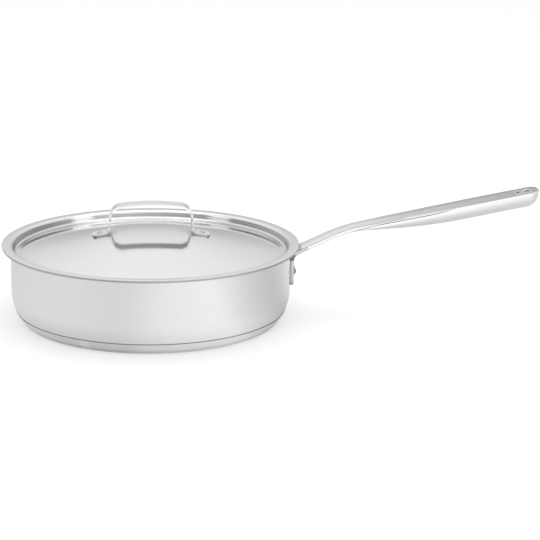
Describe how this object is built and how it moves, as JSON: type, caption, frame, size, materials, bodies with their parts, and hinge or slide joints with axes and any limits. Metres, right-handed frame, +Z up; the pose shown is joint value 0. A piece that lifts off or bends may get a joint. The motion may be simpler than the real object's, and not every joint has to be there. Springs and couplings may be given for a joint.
{
  "type": "saute pan with lid",
  "caption": "Straight-walled stainless steel saute pan with an encapsulated base, a riveted hollow long handle and a domed lid with a bail handle.",
  "frame": {"origin": "where the pan's axis meets the surface that the pan stands on", "axes": "+Z up along the pan's axis, +X along the long handle from the pan to the tip, +Y across it"},
  "size_m": [0.5018, 0.276, 0.1205],
  "materials": {
    "steel_satin": "spun and finely polished stainless steel",
    "steel_brushed": "stainless steel brushed along its length",
    "steel_polished": "bright polished stainless steel",
    "aluminium_core": "bare aluminium, sealed inside the base"
  },
  "bodies": {
    "pan": {"pan_body": "steel_satin", "base_core": "aluminium_core", "base_cap": "steel_satin", "handle_strip": "steel_brushed", "handle_shell": "steel_polished", "hang_tube": "steel_polished", "handle_rivets": "steel_polished"},
    "lid": {"lid_shell": "steel_satin", "lid_handle": "steel_polished", "lid_rivets": "steel_polished"}
  },
  "joints": [
    {"name": "lid_lift", "type": "slide", "parent": "pan", "child": "lid", "axis": [0, 0, 1], "range_m": [0, 0.12]}
  ]
}
